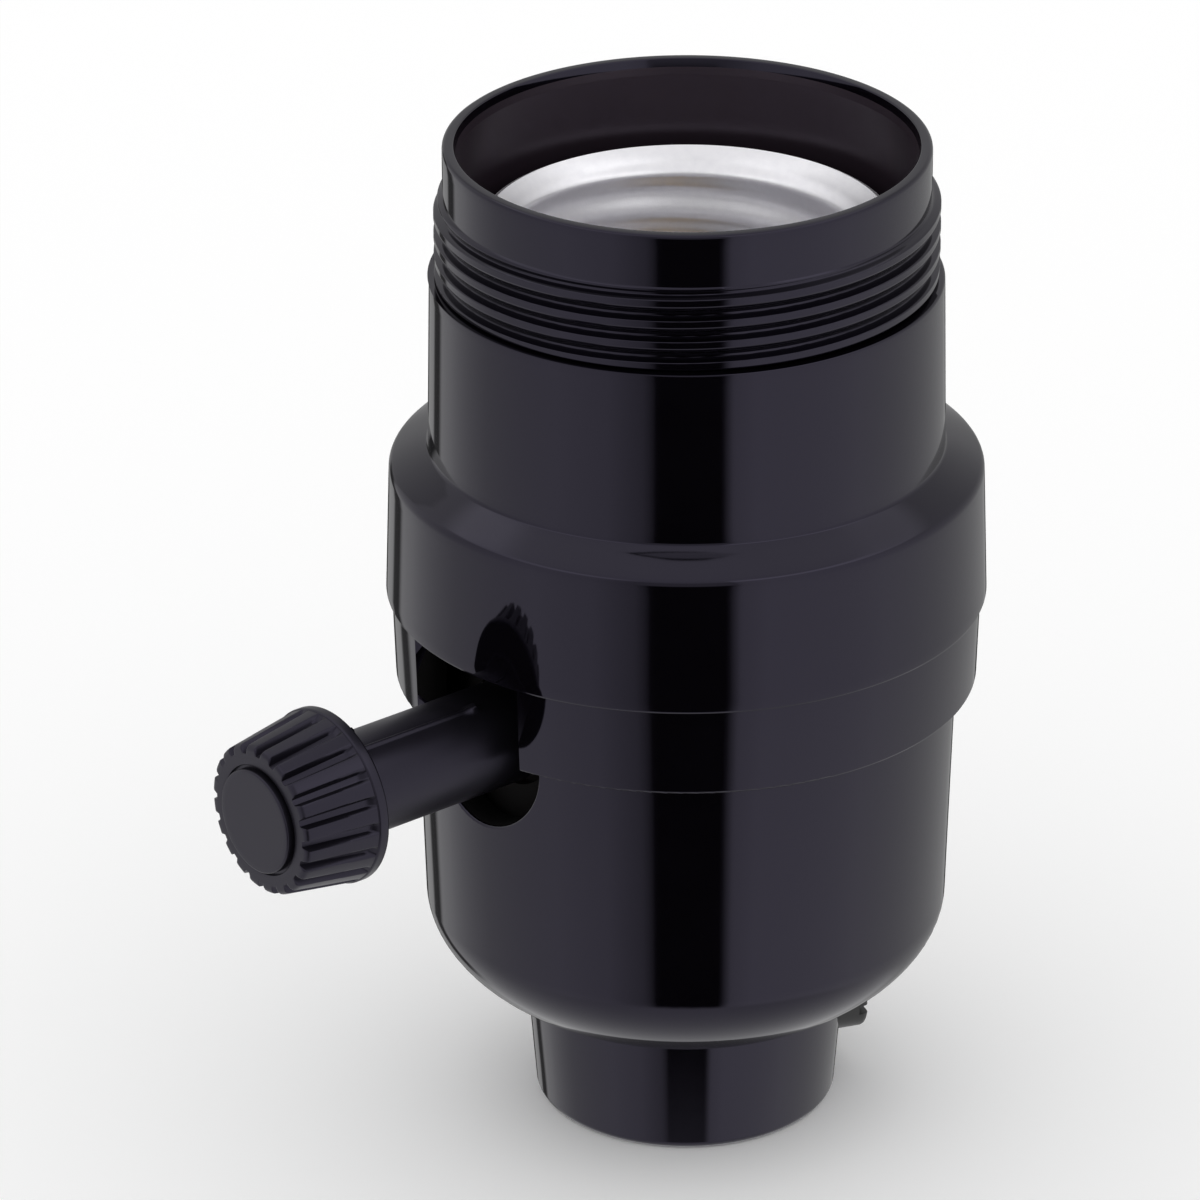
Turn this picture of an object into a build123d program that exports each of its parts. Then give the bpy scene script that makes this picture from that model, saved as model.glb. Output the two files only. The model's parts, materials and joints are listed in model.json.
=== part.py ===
from build123d import *
import math
import os

# A rotary knob lamp socket standing on its neck, in millimetres and degrees.
# +Z points up out of the mouth, the knob points to -Y, and the origin is the
# centre of the neck's end face.

# The bulb's screw shell, from which the radii of all that lies around it follow
shell_bore_radius = 13.25
sheet = 0.4
thread_depth = 0.5
flare_width = 1.68
shell_flare_height = 1.9
shell_recess = 5.97
shell_corner = 0.8
shell_floor_hole_inset = 2.3
shell_foot_height = 3.6
shell_foot_step = 0.6

# Walls, steps, gaps and drafts, each measured outwards or inwards from its neighbour
assembly_screw_inset = 3.15
slab_side_wall = 2.5
pocket_depth = 4.3
drum_gap = 0.9
cap_wall = 2.3
body_draft = 0.55
band_step = 1.47
band_draft = 0.23
band_wall = 2.8
lip_thickness = 1.0
shell_fit_gap = 0.1
collar_wall = 1.78
collar_draft = 0.34
flange_ring_gap = 0.6
well_gap = 0.45
flare_gap = 1.67
mouth_wall = 1.1
thread_step = 0.67
thread_land_step = 0.38
tube_draft = 0.25

# Cap: neck, dome, body and band, one moulding
neck_end_radius = 11.3
neck_top_radius = 12.05
neck_height = 9.2
neck_edge_round = 0.7
dome_height = 7.8
dome_foot_reach = 0.353
dome_foot_lift = 0.115
dome_top_tuck = 0.02
dome_top_drop = 0.51
body_height = 18.05
band_height = 6.7
cap_floor = 1.9
crease_round = 0.3
slot_edge_round = 0.25
band_floor = 0.85
lip_height = 2.25
edge_round = 0.25
rib_thickness = 1.6
rib_depth = 2.2
rib_angles = (45, 90, 135, 225, 270, 315)

# Outer shell: collar, shoulder, tube, shade ring thread and mouth, one moulding
collar_height = 8.8
shoulder_edge_rise = 1.4
shoulder_rise = 3.05
shoulder_edge_round = 0.7
shoulder_foot_round = 0.35
tube_length = 16.15
thread_length = 6.1
mouth_length = 4.0
mouth_lead_width = 0.25
mouth_lead_depth = 1.2
mouth_lip_round = 0.3
tube_bore_draft = 0.2
ledge_rise = 0.65

# Stem slot in the cap, open towards the outer shell
slot_width = 11.8
slot_drop = 7.45

# Knob, its stem and what turns with it, measured out from the socket's axis
knob_drop = 6.65
stem_radius = 3.84
stem_gap = 0.3
flange_start = 33.2
flange_thickness = 0.9
flange_radius = 6.58
knob_length = 6.7
grip_foot_radius = 6.3
grip_end_radius = 5.65
grip_edge_bevel = 0.35
rib_count = 20
groove_width = 0.65
groove_depth = 0.42
knob_disc_radius = 4.35
knob_disc_height = 0.45
parting_angle = 68
parting_width = 0.35
parting_height = 0.15
parting_setback = 1.4
insert_radius = 2.8
insert_length = 10.0
insert_setback = 0.3
shaft_radius = 2.05
shaft_setback = 0.6
shaft_tail = 8.2
shaft_square = 2.8
shaft_tip_bevel = 0.4
clip_neck_radius = 1.2
clip_thickness = 0.6
clip_radius = 3.2
clip_gap = 0.4
rotor_width = 6.0
rotor_corner_radius = 3.9
rotor_front = 2.0
rotor_back = 6.5
contact_thickness = 0.3
contact_width = 4.4
contact_length = 4.0

# Bush that carries the shaft in the body's front wall
bush_radius = 3.0
bush_flange_radius = 3.6
bush_flange_thickness = 0.8
bush_seat_depth = 0.9
bush_stand_out = 0.3
running_gap = 0.05
seat_gap = 0.02

# Interior body, the moulding that carries the screw shell and the switch
flange_ring_height = 2.4
well_depth = 4.2
deck_thickness = 3.0
pocket_ceiling_drop = 3.5
cavity_half_width = 4.4
cavity_front = 2.5
cavity_back = 9.6
base_thickness = 2.5
support_drop = 8.65
spot_radius = 4.3

# Screws and rivets
assembly_screw_radius = 1.4
assembly_screw_length = 31.5
assembly_head_radius = 2.2
assembly_head_height = 1.6
assembly_clear_radius = 1.55
screw_slot_width = 0.7
screw_slot_depth = 0.8
boss_radius = 3.0
boss_hole_extra = 1.0
shell_rivet_inset = 2.65
shell_rivet_radius = 0.9
shell_rivet_depth = 3.5
rivet_head_height = 0.7
rivet_head_round = 0.5
shell_rivet_head_radius = 1.5
base_screw_across = 6.5
base_screw_inset = 4.9
base_screw_radius = 1.1
base_screw_length = 6.5
base_head_radius = 2.1
base_head_height = 1.3
screw_gap = 0.02

# Contacts and terminals
contact_line = 4.0
leaf_width = 3.0
leaf = 0.3
leaf_gap = 0.1
leaf_bend = 0.5
leaf_reach_below = 4.6
leaf_slot_gap = 0.1
line_spring_rise = 6.4
line_spring_tail = 5.0
load_tab_reach = 1.8
detent_sheet = 0.4
detent_width = 3.0
centre_rivet_radius = 0.8
centre_rivet_head_radius = 1.4
centre_rivet_hole_gap = 0.05
tongue_sheet = 0.4
tongue_width = 4.8
tongue_lift = 0.3
tongue_foot_back = 1.9
tongue_foot_front = 2.0
tongue_rise = 2.3
tongue_run = 3.0
tongue_crown = 1.8
tongue_tip_drop = 0.7
tongue_tip_run = 1.1
tongue_bend = 0.6
terminal_sheet = 0.8
terminal_front = 7.5
terminal_low = 4.2
terminal_top_gap = 0.5
terminal_screw_line = -4.5
terminal_screw_rise = 4.4
terminal_screw_radius = 1.7
terminal_screw_length = 5.6
terminal_head_radius = 3.3
terminal_head_height = 2.1
hot_plate_back = 6.2
strap_half_width = 2.5
strap_sheet = 0.5
strap_reach = 5.4
strap_gap = 0.1
line_rivet_radius = 0.8
line_rivet_head_radius = 1.3
line_rivet_rise = 3.9

# Neck: threaded bushing for the lamp's nipple and its locking screw
bushing_radius = 7.0
bushing_bore_radius = 4.7
bushing_setback = 1.0
bushing_stand_up = 1.0
bushing_bevel = 0.5
neck_mouth_radius = 5.9
set_screw_radius = 2.08
set_screw_tip = 4.95
set_screw_end = 14.2
set_screw_height = 4.4
set_screw_turn = 21
set_screw_clear = 0.2
set_screw_round = 0.5

# Radii that follow from the screw shell outwards
assembly_screw_place = shell_bore_radius - assembly_screw_inset
shell_rivet_place = shell_bore_radius - shell_rivet_inset
shell_floor_hole_radius = assembly_screw_place - shell_floor_hole_inset
shell_foot_radius = shell_bore_radius - thread_depth
shell_flare_radius = shell_bore_radius + flare_width
tube_bore_radius = shell_flare_radius + flare_gap
mouth_radius = tube_bore_radius + mouth_wall
thread_crest_radius = mouth_radius + thread_step
tube_top_radius = thread_crest_radius + thread_land_step
tube_foot_radius = tube_top_radius + tube_draft
well_radius = shell_bore_radius + sheet + well_gap
slab_half_width = assembly_screw_place + slab_side_wall
drum_radius = slab_half_width + pocket_depth
body_top_radius = drum_radius + drum_gap + cap_wall
body_foot_radius = body_top_radius - body_draft
band_foot_radius = body_top_radius + band_step
band_top_radius = band_foot_radius + band_draft
band_bore_radius = band_top_radius - band_wall
collar_bore_radius = band_bore_radius + lip_thickness + shell_fit_gap
collar_top_radius = collar_bore_radius + collar_wall
collar_foot_radius = collar_top_radius + collar_draft
flange_ring_radius = collar_bore_radius - flange_ring_gap
bush_seat = drum_radius - bush_seat_depth
stem_start = drum_radius + stem_gap
shaft_end = stem_start + insert_setback + insert_length - shaft_setback
base_screw_place = (base_screw_across, base_screw_inset - drum_radius)

# Heights that follow from the sizes above
body_z = neck_height + dome_height
band_z = body_z + body_height
seam_z = band_z + band_height
shoulder_z = seam_z + collar_height
tube_top_z = shoulder_z + tube_length
thread_top_z = tube_top_z + thread_length
mouth_z = thread_top_z + mouth_length
knob_z = seam_z - knob_drop
slot_z = seam_z - slot_drop
floor_z = neck_height + cap_floor
support_z = band_z - support_drop
base_top_z = support_z + base_thickness
ledge_z = shoulder_z + ledge_rise
deck_z = ledge_z - well_depth
roof_z = deck_z - deck_thickness
pocket_z = deck_z - pocket_ceiling_drop
shell_top_z = mouth_z - shell_recess
shell_floor_z = deck_z + sheet
rotor_half = rotor_width / 2
leaf_face = rotor_half + leaf_gap
clip_z = rotor_back + contact_thickness + clip_gap
terminal_z = knob_z + terminal_screw_rise
line_run_z = knob_z + line_spring_rise
line_rivet_z = knob_z + line_rivet_rise
hot_seat = slab_half_width + leaf + terminal_sheet
neutral_seat = slab_half_width + terminal_sheet


def upright(low, high, radius, x=0.0, y=0.0):
    """A round bar that stands from one height to another."""
    return Pos(x, y, (low + high) / 2) * Cylinder(radius, high - low)


def crosswise(start, end, radius, y, z):
    """A round bar that lies along X."""
    return Pos((start + end) / 2, y, z) * Rot(0, 90, 0) * Cylinder(radius, end - start)


def block(low, high):
    """A box between two opposite corners."""
    size = [b - a for a, b in zip(low, high)]
    middle = [(a + b) / 2 for a, b in zip(low, high)]
    return Pos(*middle) * Box(*size)


def turned(*edges):
    """A closed outline of radii and heights, turned about the socket's axis."""
    return revolve(Plane.XZ * make_face(edges), Axis.Z)


def bent_strip(plane, points, thickness, width, bend):
    """A strip of sheet metal bent along a line of points in a plane."""
    line = FilletPolyline(*points, radius=bend)
    outline = line.offset_2d(thickness, side=Side.LEFT)
    return extrude(plane * make_face(outline), amount=width / 2, both=True)


def on_knob_axis(piece):
    """Lay a piece that was made upright along the knob's axis, outwards."""
    return Pos(0, 0, knob_z) * Rot(90, 0, 0) * piece


def circles_at(piece, radius, height):
    """The round edges of a piece that have this radius and lie at this height."""
    near = 0.01
    return [
        edge for edge in piece.edges().filter_by(GeomType.CIRCLE)
        if abs(edge.radius - radius) < near and abs(edge.arc_center.Z - height) < near
    ]


def slotted_screw(radius, length, head_radius, head_height):
    """A pan head screw that points down, its head seated at the origin's plane."""
    head = upright(0, head_height, head_radius)
    head = fillet(circles_at(head, head_radius, head_height), head_height / 2)
    slot_low = head_height - screw_slot_depth
    slot = block(
        (-head_radius, -screw_slot_width / 2, slot_low),
        (head_radius, screw_slot_width / 2, head_height),
    )
    return upright(-length, 0, radius) + head - slot


def domed_rivet(radius, length, head_radius):
    """A rivet that points down, its round head seated at the origin's plane."""
    head = upright(0, rivet_head_height, head_radius)
    head = fillet(circles_at(head, head_radius, rivet_head_height), rivet_head_round)
    return upright(-length, 0, radius) + head


def dome_curve(inner_radius, low, outer_radius, high):
    """The dome's curve from its foot at the neck out to the straight wall."""
    width = outer_radius - inner_radius
    height = high - low
    return Bezier(
        (inner_radius, low),
        (inner_radius + dome_foot_reach * width, low + dome_foot_lift * height),
        (outer_radius - dome_top_tuck * width, high - dome_top_drop * height),
        (outer_radius, high),
    )


def cap_outside():
    """The cap's outer form, filled to the axis."""
    form = turned(
        Polyline((0, 0), (neck_end_radius, 0), (neck_top_radius, neck_height)),
        dome_curve(neck_top_radius, neck_height, body_foot_radius, body_z),
        Polyline(
            (body_foot_radius, body_z),
            (body_top_radius, band_z),
            (band_foot_radius, band_z),
            (band_top_radius, seam_z),
            (0, seam_z),
            (0, 0),
        ),
    )
    form = fillet(circles_at(form, neck_end_radius, 0), neck_edge_round)
    form = fillet(circles_at(form, neck_top_radius, neck_height), crease_round)
    return fillet(circles_at(form, band_foot_radius, band_z), edge_round)


def cap_cavity():
    """The hollow of the cap, from its floor to its open top."""
    floor_radius = neck_top_radius - cap_wall
    wall_foot = body_foot_radius - cap_wall
    wall_top = body_top_radius - cap_wall
    step_z = band_z + band_floor
    open_z = seam_z + lip_height
    return turned(
        Line((0, floor_z), (floor_radius, floor_z)),
        dome_curve(floor_radius, floor_z, wall_foot, body_z),
        Polyline(
            (wall_foot, body_z),
            (wall_top, step_z),
            (band_bore_radius, step_z),
            (band_bore_radius, open_z),
            (0, open_z),
            (0, floor_z),
        ),
    )


def stem_slot():
    """The slot that the stem passes through, round below and open at the top."""
    half = slot_width / 2
    reach = collar_foot_radius + cap_wall
    inner = body_foot_radius - cap_wall - rib_depth
    round_end = Pos(0, -(reach + inner) / 2, slot_z) * Rot(90, 0, 0) * Cylinder(half, reach - inner)
    sides = block((-half, -reach, slot_z), (half, -inner, seam_z + lip_height))
    return round_end + sides


def slot_edge(piece):
    """The slot's round lower edge on the outside of the cap's wall."""
    return [
        edge for edge in piece.edges().filter_by(GeomType.BSPLINE)
        if edge.length > slot_width and edge.position_at(1 / 2).Y < -body_foot_radius
    ]


def set_screw_bar(start, end, radius):
    """A round bar on the set screw's line, between two distances from the axis."""
    bar = Pos(0, (start + end) / 2, set_screw_height) * Rot(90, 0, 0) * Cylinder(radius, end - start)
    return Rot(0, 0, -set_screw_turn) * bar


def cap():
    """The lower moulding, with its bosses, ribs, lip, slot and neck bore."""
    cavity = cap_cavity()
    form = cap_outside() - cavity
    lip_top = seam_z + lip_height
    lip_radius = band_bore_radius + lip_thickness
    step_z = band_z + band_floor
    form += upright(step_z, lip_top, lip_radius) - upright(step_z, lip_top, band_bore_radius)
    for side in (-1, 1):
        form += upright(floor_z, support_z, boss_radius, side * assembly_screw_place)
    rib_reach = body_foot_radius - cap_wall / 2
    rib_inner = body_foot_radius - cap_wall - rib_depth
    rib = block(
        (rib_inner, -rib_thickness / 2, body_z - dome_height / 4),
        (rib_reach, rib_thickness / 2, support_z),
    )
    for angle in rib_angles:
        form += Rot(0, 0, angle) * rib
    form -= stem_slot()
    form = fillet(slot_edge(form), slot_edge_round)
    form -= upright(0, bushing_setback, neck_mouth_radius)
    form -= upright(bushing_setback, floor_z, bushing_radius + seat_gap)
    hole_foot = deck_z + sheet - assembly_screw_length - boss_hole_extra
    for side in (-1, 1):
        place = side * assembly_screw_place
        form -= upright(hole_foot, support_z, assembly_screw_radius + screw_gap, place)
    clear_radius = set_screw_radius + set_screw_clear
    return form - set_screw_bar(bushing_bore_radius, neck_top_radius + cap_wall, clear_radius)


def outer_shell():
    """The upper moulding: collar, shoulder, tube, thread land and mouth."""
    edge_z = shoulder_z + shoulder_edge_rise
    foot_z = shoulder_z + shoulder_rise
    form = turned(
        Polyline(
            (0, seam_z),
            (collar_foot_radius, seam_z),
            (collar_top_radius, edge_z),
            (tube_foot_radius, foot_z),
            (tube_top_radius, tube_top_z),
            (thread_crest_radius, tube_top_z),
            (thread_crest_radius, thread_top_z),
            (mouth_radius, thread_top_z),
            (mouth_radius, mouth_z),
            (0, mouth_z),
            (0, seam_z),
        ),
    )
    form = fillet(circles_at(form, collar_foot_radius, seam_z), edge_round)
    form = fillet(circles_at(form, collar_top_radius, edge_z), shoulder_edge_round)
    form = fillet(circles_at(form, tube_foot_radius, foot_z), shoulder_foot_round)
    form = fillet(circles_at(form, mouth_radius, mouth_z), mouth_lip_round)
    bore = turned(
        Polyline(
            (0, ledge_z),
            (tube_bore_radius - tube_bore_draft, ledge_z),
            (tube_bore_radius, mouth_z - mouth_lead_depth),
            (tube_bore_radius + mouth_lead_width, mouth_z),
            (0, mouth_z),
            (0, ledge_z),
        )
    )
    return form - bore - upright(seam_z, ledge_z, collar_bore_radius)


def cap_bushing():
    """The threaded metal bushing in the neck."""
    top = floor_z + bushing_stand_up
    form = upright(bushing_setback, top, bushing_radius)
    form = chamfer(circles_at(form, bushing_radius, top), bushing_bevel)
    form -= upright(bushing_setback, top, bushing_bore_radius)
    return form - set_screw_bar(0, bushing_radius + 1, set_screw_radius + screw_gap)


def cap_set_screw():
    """The headless screw that locks the nipple, backed out as the photo shows."""
    length = set_screw_end - set_screw_tip
    form = upright(0, length, set_screw_radius)
    form = fillet(circles_at(form, set_screw_radius, length), set_screw_round)
    slot = block(
        (-set_screw_radius, -screw_slot_width / 2, length - screw_slot_depth),
        (set_screw_radius, screw_slot_width / 2, length),
    )
    place = Rot(0, 0, -set_screw_turn) * Pos(0, set_screw_tip, set_screw_height) * Rot(-90, 0, 0)
    return place * (form - slot)


def side_pocket(side):
    """The space beside the slab for one terminal and its wire."""
    return block(
        (min(side * slab_half_width, side * flange_ring_radius), -flange_ring_radius, support_z),
        (max(side * slab_half_width, side * flange_ring_radius), flange_ring_radius, pocket_z),
    )


def interior_body():
    """The moulding that carries the screw shell above and the switch below."""
    form = upright(base_top_z, ledge_z, drum_radius)
    form += upright(ledge_z - flange_ring_height, ledge_z, flange_ring_radius)
    form -= upright(deck_z, ledge_z, well_radius)
    for side in (-1, 1):
        form -= side_pocket(side)
        form -= upright(base_top_z, deck_z, assembly_clear_radius, side * assembly_screw_place)
        rivet_foot = deck_z - shell_rivet_depth
        form -= upright(rivet_foot, deck_z, shell_rivet_radius + seat_gap, 0, side * shell_rivet_place)
        screw_x, screw_y = (side * place for place in base_screw_place)
        screw_top = support_z + base_head_height + base_screw_length + boss_hole_extra
        form -= upright(base_top_z, screw_top, base_screw_radius + screw_gap, screw_x, screw_y)
        hole_inner = slab_half_width - terminal_screw_length
        ends = sorted((side * hole_inner, side * drum_radius))
        form -= crosswise(*ends, terminal_screw_radius + screw_gap, terminal_screw_line, terminal_z)
    form -= block(
        (-cavity_half_width, -cavity_front, base_top_z),
        (cavity_half_width, cavity_back, roof_z),
    )
    hole_radius = centre_rivet_radius + centre_rivet_hole_gap
    form -= upright(roof_z, deck_z, hole_radius, 0, contact_line)
    form -= leaf_groove()
    form -= strap_recess()
    form -= on_knob_axis(upright(cavity_front, drum_radius, bush_radius + seat_gap))
    return form - on_knob_axis(upright(bush_seat, drum_radius + 1, spot_radius))


def leaf_groove():
    """The groove that lets the line spring into the switch from below."""
    half = leaf_width / 2 + leaf_slot_gap
    return block(
        (-slab_half_width, contact_line - half, base_top_z),
        (-cavity_half_width, contact_line + half, line_run_z + leaf_slot_gap),
    )


def strap_recess():
    """The slot and the shallow recess that hold the neutral strap in the deck."""
    half = strap_half_width + strap_gap
    outer = slab_half_width + strap_sheet + strap_gap
    inner = outer - strap_reach - 2 * strap_gap
    slot = block((slab_half_width, -half, pocket_z), (outer, half, deck_z))
    return slot + block((inner, -half, deck_z - strap_sheet), (outer, half, deck_z))


def switch_base():
    """The cover that closes the switch from below."""
    form = upright(support_z, base_top_z, drum_radius)
    for side in (-1, 1):
        form -= side_pocket(side)
        form -= upright(support_z, base_top_z, assembly_clear_radius, side * assembly_screw_place)
        screw_x, screw_y = (side * place for place in base_screw_place)
        head_top = support_z + base_head_height
        form -= upright(support_z, head_top, base_head_radius + running_gap, screw_x, screw_y)
        form -= upright(support_z, base_top_z, base_screw_radius + running_gap, screw_x, screw_y)
    return form


def base_screws():
    """The two screws that hold the cover to the body, heads in its underside."""
    screw = slotted_screw(base_screw_radius, base_screw_length, base_head_radius, base_head_height)
    screw = Pos(0, 0, support_z + base_head_height) * Rot(180, 0, 0) * screw
    x, y = base_screw_place
    return Compound([Pos(x, y, 0) * screw, Pos(-x, -y, 0) * screw])


def assembly_screws():
    """The two long screws that clamp the screw shell, body and cap together."""
    screw = slotted_screw(
        assembly_screw_radius, assembly_screw_length, assembly_head_radius, assembly_head_height
    )
    return Compound([Pos(side * assembly_screw_place, 0, shell_floor_z) * screw for side in (-1, 1)])


def screw_shell():
    """The drawn sheet cup that the bulb screws into, flared at the top."""
    outer = shell_bore_radius + sheet
    foot_outer = shell_foot_radius + sheet
    flare_foot = shell_top_z - shell_flare_height
    inside_corner = shell_corner - sheet
    foot_top = deck_z + shell_foot_height
    form = turned(
        Polyline(
            (shell_floor_hole_radius, deck_z),
            (foot_outer - shell_corner, deck_z),
        ),
        JernArc((foot_outer - shell_corner, deck_z), (1, 0), shell_corner, 90),
        Polyline(
            (foot_outer, deck_z + shell_corner),
            (foot_outer, foot_top),
            (outer, foot_top + shell_foot_step),
            (outer, flare_foot),
        ),
        Bezier(
            (outer, flare_foot),
            (outer, flare_foot + shell_flare_height / 2),
            (shell_flare_radius, shell_top_z - sheet),
            (shell_flare_radius, shell_top_z - sheet / 2),
        ),
        Line((shell_flare_radius, shell_top_z - sheet / 2), (shell_flare_radius - sheet, shell_top_z)),
        Bezier(
            (shell_flare_radius - sheet, shell_top_z),
            (shell_bore_radius + sheet / 4, flare_foot + shell_flare_height / 2),
            (shell_bore_radius, flare_foot + shell_flare_height / 4),
            (shell_bore_radius, flare_foot),
        ),
        Polyline(
            (shell_bore_radius, flare_foot),
            (shell_bore_radius, foot_top + shell_foot_step),
            (shell_foot_radius, foot_top),
            (shell_foot_radius, shell_floor_z + inside_corner),
        ),
        JernArc((shell_foot_radius, shell_floor_z + inside_corner), (0, -1), inside_corner, -90),
        Polyline(
            (shell_foot_radius - inside_corner, shell_floor_z),
            (shell_floor_hole_radius, shell_floor_z),
            (shell_floor_hole_radius, deck_z),
        ),
    )
    for side in (-1, 1):
        form -= upright(deck_z, shell_floor_z, assembly_clear_radius, side * assembly_screw_place)
        hole_radius = shell_rivet_radius + running_gap
        form -= upright(deck_z, shell_floor_z, hole_radius, 0, side * shell_rivet_place)
    return form


def shell_rivets():
    """The two drive rivets that hold the screw shell to the body's deck."""
    rivet = domed_rivet(shell_rivet_radius, shell_rivet_depth + sheet, shell_rivet_head_radius)
    return Compound([Pos(0, side * shell_rivet_place, shell_floor_z) * rivet for side in (-1, 1)])


def centre_contact():
    """The spring tongue that touches the bulb's tip."""
    foot_z = deck_z + tongue_lift
    back = contact_line + tongue_foot_back
    front = contact_line - tongue_foot_front
    crown = front - tongue_run
    crown_z = foot_z + tongue_rise
    crown_front = crown - tongue_crown
    points = (
        (crown_front - tongue_tip_run, crown_z - tongue_tip_drop),
        (crown_front, crown_z),
        (crown, crown_z),
        (front, foot_z),
        (back, foot_z),
    )
    strip = bent_strip(Plane.YZ, points, tongue_sheet, tongue_width, tongue_bend)
    hole_radius = centre_rivet_radius + tongue_lift
    return strip - upright(foot_z, foot_z + tongue_sheet, hole_radius, 0, contact_line)


def centre_contact_rivet():
    """The rivet that ties the tongue to the load spring through the deck."""
    seat = deck_z + 2 * tongue_lift + tongue_sheet
    foot = roof_z - leaf
    rivet = Pos(0, 0, seat) * domed_rivet(centre_rivet_radius, seat - foot, centre_rivet_head_radius)
    clinch = upright(foot - rivet_head_height, foot, centre_rivet_head_radius)
    return Pos(0, contact_line, 0) * (rivet + clinch)


def load_contact_spring():
    """The leaf that takes the current from the rotor up to the centre contact."""
    outer = leaf_face + leaf
    points = ((outer, knob_z - leaf_reach_below), (outer, roof_z), (-load_tab_reach, roof_z))
    strip = bent_strip(Plane.XZ.offset(-contact_line), points, leaf, leaf_width, leaf_bend)
    hole_radius = centre_rivet_radius + centre_rivet_hole_gap
    return strip - upright(roof_z - leaf, roof_z, hole_radius, 0, contact_line)


def line_contact_spring():
    """The leaf that brings the current from the hot terminal to the rotor."""
    tail = slab_half_width + leaf
    points = (
        (-leaf_face, knob_z - leaf_reach_below),
        (-leaf_face, line_run_z),
        (-tail, line_run_z),
        (-tail, line_run_z - line_spring_tail),
    )
    strip = bent_strip(Plane.XZ.offset(-contact_line), points, leaf, leaf_width, leaf_bend)
    hole_radius = line_rivet_radius + running_gap
    return strip - crosswise(-tail, -slab_half_width, hole_radius, contact_line, line_rivet_z)


def line_contact_rivet():
    """The rivet that ties the line spring to the hot terminal's plate."""
    length = leaf + terminal_sheet
    rivet = domed_rivet(line_rivet_radius, length, line_rivet_head_radius)
    clinch = upright(-length - rivet_head_height, -length, line_rivet_head_radius)
    seat = slab_half_width + leaf + terminal_sheet
    return Pos(-seat, contact_line, line_rivet_z) * Rot(0, -90, 0) * (rivet + clinch)


def detent_spring():
    """The steel clip that grips the rotor's flats and holds each quarter turn."""
    outer = leaf_face + detent_sheet
    foot = knob_z - leaf_reach_below
    points = ((outer, foot), (outer, roof_z), (-outer, roof_z), (-outer, foot))
    return bent_strip(Plane.XZ, points, detent_sheet, detent_width, leaf_bend)


def terminal_screw(side, seat):
    """A terminal screw on one side, its head seated at this distance from the middle."""
    screw = slotted_screw(
        terminal_screw_radius,
        seat - slab_half_width + terminal_screw_length - seat_gap,
        terminal_head_radius,
        terminal_head_height,
    )
    return Pos(side * seat, terminal_screw_line, terminal_z) * Rot(0, side * 90, 0) * screw


def hot_terminal_plate():
    """The plate under the hot terminal's screw."""
    plate = block(
        (-hot_seat, -terminal_front, terminal_z - terminal_low),
        (-slab_half_width - leaf, hot_plate_back, pocket_z - terminal_top_gap),
    )
    ends = (-hot_seat, -slab_half_width)
    plate -= crosswise(*ends, terminal_screw_radius + running_gap, terminal_screw_line, terminal_z)
    return plate - crosswise(*ends, line_rivet_radius + running_gap, contact_line, line_rivet_z)


def neutral_terminal_plate():
    """The plate under the neutral screw and its strap up to the screw shell."""
    plate = block(
        (slab_half_width, -terminal_front, terminal_z - terminal_low),
        (neutral_seat, strap_half_width, pocket_z - strap_gap),
    )
    ends = (slab_half_width, neutral_seat)
    plate -= crosswise(*ends, terminal_screw_radius + running_gap, terminal_screw_line, terminal_z)
    outer = slab_half_width + strap_sheet
    points = ((outer, terminal_z), (outer, deck_z), (outer - strap_reach, deck_z))
    strap = bent_strip(Plane.XZ, points, strap_sheet, 2 * strap_half_width, strap_sheet)
    hole = upright(deck_z - strap_sheet, deck_z, assembly_clear_radius, assembly_screw_place)
    return plate + strap - hole


def hot_terminal_screw():
    """The hot terminal's screw."""
    return terminal_screw(-1, hot_seat)


def neutral_terminal_screw():
    """The neutral terminal's screw."""
    return terminal_screw(1, neutral_seat)


def shaft_bush():
    """The flanged bush in the body's front wall."""
    tube = upright(cavity_front - bush_stand_out, bush_seat, bush_radius)
    flange = upright(bush_seat, bush_seat + bush_flange_thickness, bush_flange_radius)
    bore = upright(0, bush_seat + bush_flange_thickness, shaft_radius + running_gap)
    return on_knob_axis(tube + flange - bore)


def switch_shaft():
    """The shaft: round through the bush, square through the rotor."""
    form = upright(rotor_front, shaft_end, shaft_radius)
    form = chamfer(circles_at(form, shaft_radius, shaft_end), shaft_tip_bevel)
    half = shaft_square / 2
    square = block((-half, -half, -shaft_tail), (half, half, rotor_front))
    groove = upright(-clip_z - clip_thickness, -clip_z, shaft_square)
    groove -= upright(-clip_z - clip_thickness, -clip_z, clip_neck_radius)
    return on_knob_axis(form + square - groove)


def shaft_clip():
    """The open clip in the shaft's groove, behind the rotor."""
    low = -clip_z - clip_thickness + seat_gap
    high = -clip_z - seat_gap
    form = upright(low, high, clip_radius)
    form -= upright(low, high, clip_neck_radius + seat_gap)
    mouth = block((-clip_neck_radius, -clip_radius, low), (clip_neck_radius, 0, high))
    return on_knob_axis(form - mouth)


def rotor_contact():
    """The bridging strip let into two opposite faces of the rotor."""
    half = contact_width / 2
    leg_end = -(rotor_back - contact_length)
    low = -rotor_back - contact_thickness
    form = block((-half, -rotor_half, low), (half, rotor_half, leg_end))
    gap = rotor_half - contact_thickness
    form -= block((-half, -gap, -rotor_back), (half, gap, leg_end))
    hole = shaft_square / 2 + seat_gap
    return on_knob_axis(form - block((-hole, -hole, low), (hole, hole, -rotor_back)))


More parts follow.
